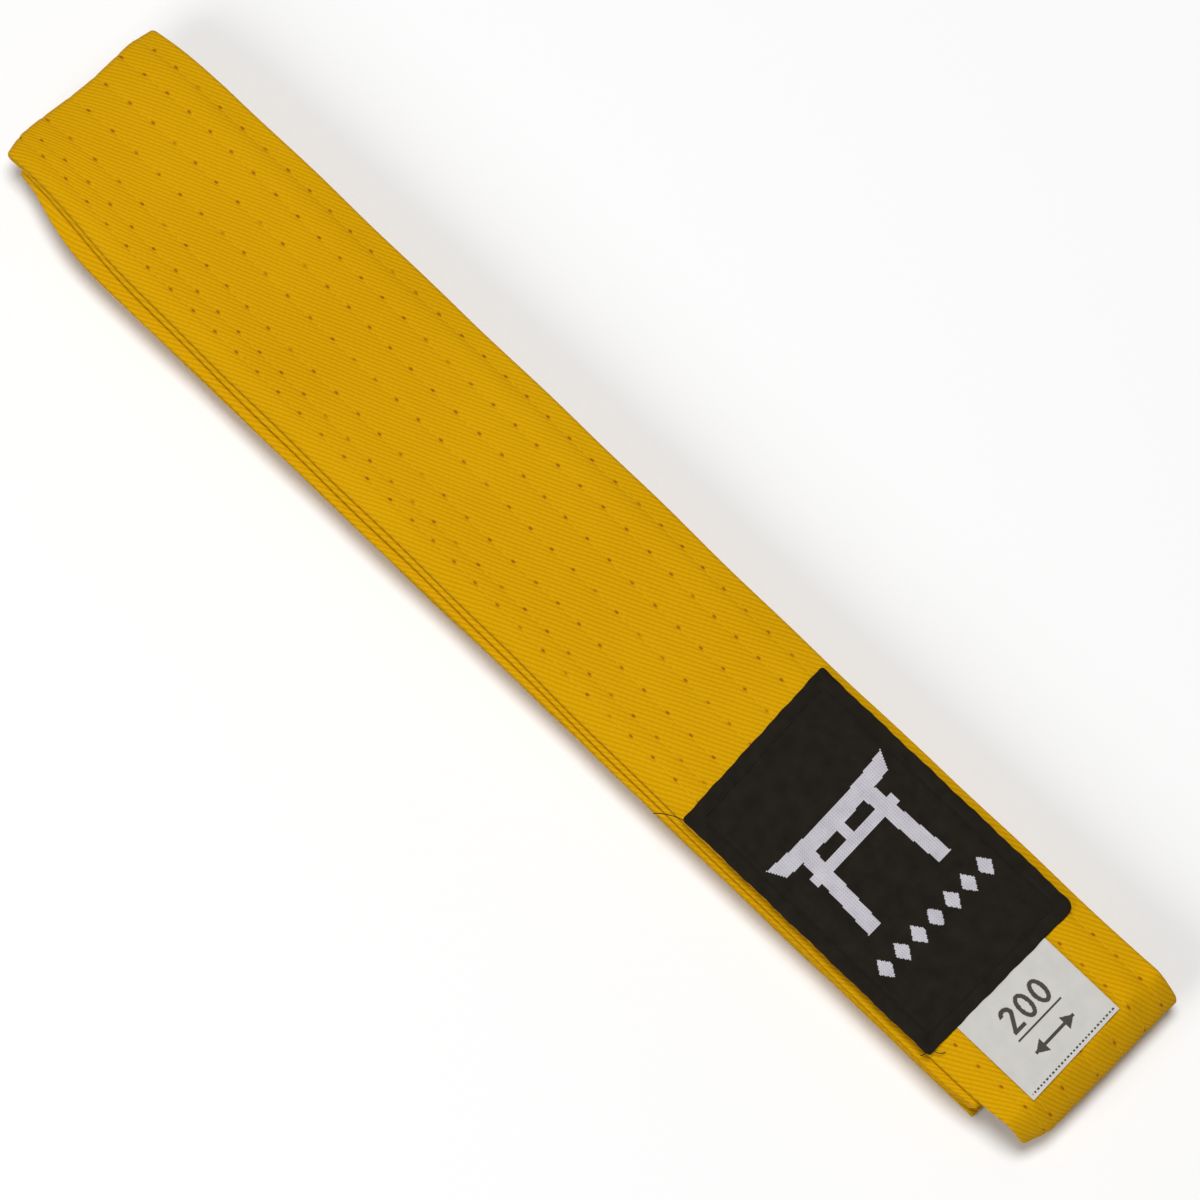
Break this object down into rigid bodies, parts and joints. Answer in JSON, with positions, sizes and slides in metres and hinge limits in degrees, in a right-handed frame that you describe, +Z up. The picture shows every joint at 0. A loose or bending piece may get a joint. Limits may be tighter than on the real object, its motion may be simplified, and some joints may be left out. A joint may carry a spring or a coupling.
{
  "type": "martial arts belt",
  "caption": "Flat quilted cotton martial arts belt, folded back and forth into a bundle, with a woven label, a size tag and a rolled end.",
  "frame": {"origin": "below the middle of the bundle, on the surface that it lies on", "axes": "+X along the bundle towards the rolled end, +Y across the strap, +Z up out of the labelled face"},
  "size_m": [0.267, 0.04, 0.0148],
  "materials": {
    "yellow_twill": "cotton twill",
    "cotton_core": "needled cotton padding",
    "yellow_thread": "spun sewing thread",
    "black_damask": "damask-woven polyester",
    "black_thread": "polyester sewing thread",
    "white_satin": "printed satin tape"
  },
  "bodies": {
    "strap_8": {"cover_ply_8": "yellow_twill", "core_ply_8": "cotton_core", "label": "black_damask", "label_stitching": "black_thread", "size_tag": "white_satin", "seam_thread_1": "yellow_thread", "seam_thread_2": "yellow_thread", "seam_thread_3": "yellow_thread", "seam_thread_4": "yellow_thread", "seam_thread_5": "yellow_thread", "seam_thread_6": "yellow_thread", "seam_thread_7": "yellow_thread"},
    "strap_7": {"cover_ply_7": "yellow_twill", "core_ply_7": "cotton_core", "cover_fold_7_8": "yellow_twill", "core_fold_7_8": "cotton_core"},
    "strap_6": {"cover_ply_6": "yellow_twill", "core_ply_6": "cotton_core", "cover_fold_6_7": "yellow_twill", "core_fold_6_7": "cotton_core"},
    "strap_5": {"cover_ply_5": "yellow_twill", "core_ply_5": "cotton_core", "cover_fold_5_6": "yellow_twill", "core_fold_5_6": "cotton_core"},
    "strap_4": {"cover_ply_4": "yellow_twill", "core_ply_4": "cotton_core", "cover_fold_4_5": "yellow_twill", "core_fold_4_5": "cotton_core"},
    "strap_3": {"cover_ply_3": "yellow_twill", "core_ply_3": "cotton_core", "cover_fold_3_4": "yellow_twill", "core_fold_3_4": "cotton_core"},
    "strap_2": {"cover_ply_2": "yellow_twill", "core_ply_2": "cotton_core", "cover_fold_2_3": "yellow_twill", "core_fold_2_3": "cotton_core"},
    "strap_1": {"cover_ply_1": "yellow_twill", "core_ply_1": "cotton_core", "cover_fold_1_2": "yellow_twill", "core_fold_1_2": "cotton_core"},
    "end_1": {"cover_end_roll_1": "yellow_twill", "core_end_roll_1": "cotton_core"},
    "end_2": {"cover_end_roll_2": "yellow_twill", "core_end_roll_2": "cotton_core"},
    "end_3": {"cover_end_roll_3": "yellow_twill", "core_end_roll_3": "cotton_core", "cover_tip": "yellow_twill", "core_tip": "cotton_core"}
  },
  "joints": [
    {"name": "fold_7_8", "type": "hinge", "parent": "strap_8", "child": "strap_7", "pos_m": [-0.13322, 0, 0.01215], "axis": [0, 1, 0], "range_deg": [0, 178], "deforming": ["cover_fold_7_8", "core_fold_7_8"]},
    {"name": "fold_6_7", "type": "hinge", "parent": "strap_7", "child": "strap_6", "pos_m": [0.12192, 0, 0.0104], "axis": [0, -1, 0], "range_deg": [0, 178], "deforming": ["cover_fold_6_7", "core_fold_6_7"]},
    {"name": "fold_5_6", "type": "hinge", "parent": "strap_6", "child": "strap_5", "pos_m": [-0.12822, 0, 0.00865], "axis": [0, 1, 0], "range_deg": [0, 178], "deforming": ["cover_fold_5_6", "core_fold_5_6"]},
    {"name": "fold_4_5", "type": "hinge", "parent": "strap_5", "child": "strap_4", "pos_m": [0.12142, 0, 0.0069], "axis": [0, -1, 0], "range_deg": [0, 178], "deforming": ["cover_fold_4_5", "core_fold_4_5"]},
    {"name": "fold_3_4", "type": "hinge", "parent": "strap_4", "child": "strap_3", "pos_m": [-0.12322, 0, 0.00515], "axis": [0, 1, 0], "range_deg": [0, 178], "deforming": ["cover_fold_3_4", "core_fold_3_4"]},
    {"name": "fold_2_3", "type": "hinge", "parent": "strap_3", "child": "strap_2", "pos_m": [0.12092, 0, 0.0034], "axis": [0, -1, 0], "range_deg": [0, 178], "deforming": ["cover_fold_2_3", "core_fold_2_3"]},
    {"name": "fold_1_2", "type": "hinge", "parent": "strap_2", "child": "strap_1", "pos_m": [-0.11822, 0, 0.00165], "axis": [0, 1, 0], "range_deg": [0, 178], "deforming": ["cover_fold_1_2", "core_fold_1_2"]},
    {"name": "end_roll_1", "type": "hinge", "parent": "strap_8", "child": "end_1", "pos_m": [0.13034, 0, 0.01256], "axis": [0, -1, 0], "range_deg": [0, 60], "deforming": ["cover_end_roll_1", "core_end_roll_1"]},
    {"name": "end_roll_2", "type": "hinge", "parent": "end_1", "child": "end_2", "pos_m": [0.13296, 0, 0.00802], "axis": [0, -1, 0], "range_deg": [0, 60], "deforming": ["cover_end_roll_2", "core_end_roll_2"]},
    {"name": "end_roll_3", "type": "hinge", "parent": "end_2", "child": "end_3", "pos_m": [0.13034, 0, 0.00349], "axis": [0, -1, 0], "range_deg": [0, 60], "deforming": ["cover_end_roll_3", "core_end_roll_3"]}
  ],
  "couplings": [
    {"joint": "fold_6_7", "follows": "fold_7_8", "ratio": 1},
    {"joint": "fold_5_6", "follows": "fold_7_8", "ratio": 1},
    {"joint": "fold_4_5", "follows": "fold_7_8", "ratio": 1},
    {"joint": "fold_3_4", "follows": "fold_7_8", "ratio": 1},
    {"joint": "fold_2_3", "follows": "fold_7_8", "ratio": 1},
    {"joint": "fold_1_2", "follows": "fold_7_8", "ratio": 1},
    {"joint": "end_roll_2", "follows": "end_roll_1", "ratio": 1},
    {"joint": "end_roll_3", "follows": "end_roll_1", "ratio": 1}
  ]
}
